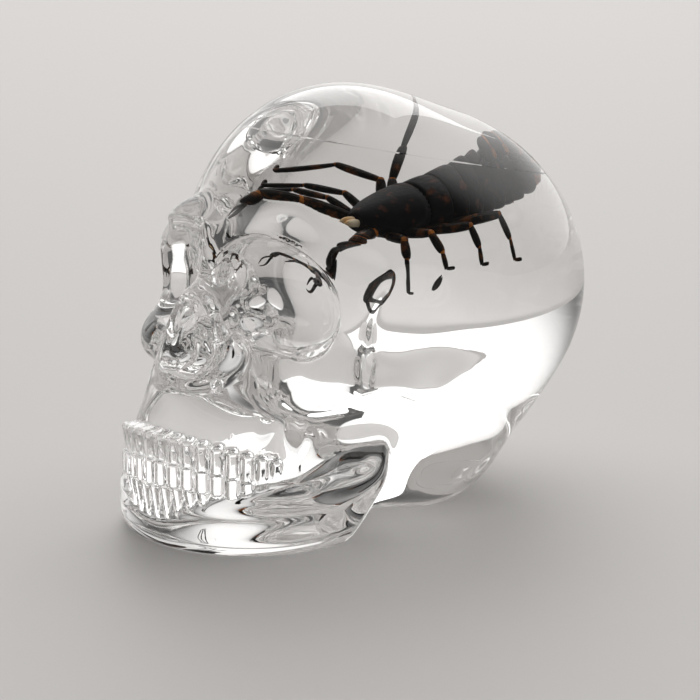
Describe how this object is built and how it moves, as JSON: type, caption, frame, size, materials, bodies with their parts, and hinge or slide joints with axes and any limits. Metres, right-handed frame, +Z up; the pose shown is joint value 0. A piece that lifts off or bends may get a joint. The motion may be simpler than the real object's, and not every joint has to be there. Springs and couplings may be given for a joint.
{
  "type": "scorpion in clear resin skull paperweight",
  "caption": "Dried black scorpion sealed in a clear, glossy cast resin block shaped as a small human skull, resting on its flat jaw and base.",
  "frame": {"origin": "middle of the bounding box's bottom face, on the surface that the skull rests on", "axes": "+Z up, -Y the way the face looks, +X the skull's left side"},
  "size_m": [0.0482, 0.0738, 0.0574],
  "materials": {
    "clear_resin": "clear, colourless, polished cast resin",
    "scorpion_shell": "glossy black shell with amber joints"
  },
  "bodies": {
    "root": {"resin_skull_lower": "clear_resin", "resin_skull_upper": "clear_resin", "scorpion": "scorpion_shell"}
  },
  "joints": []
}
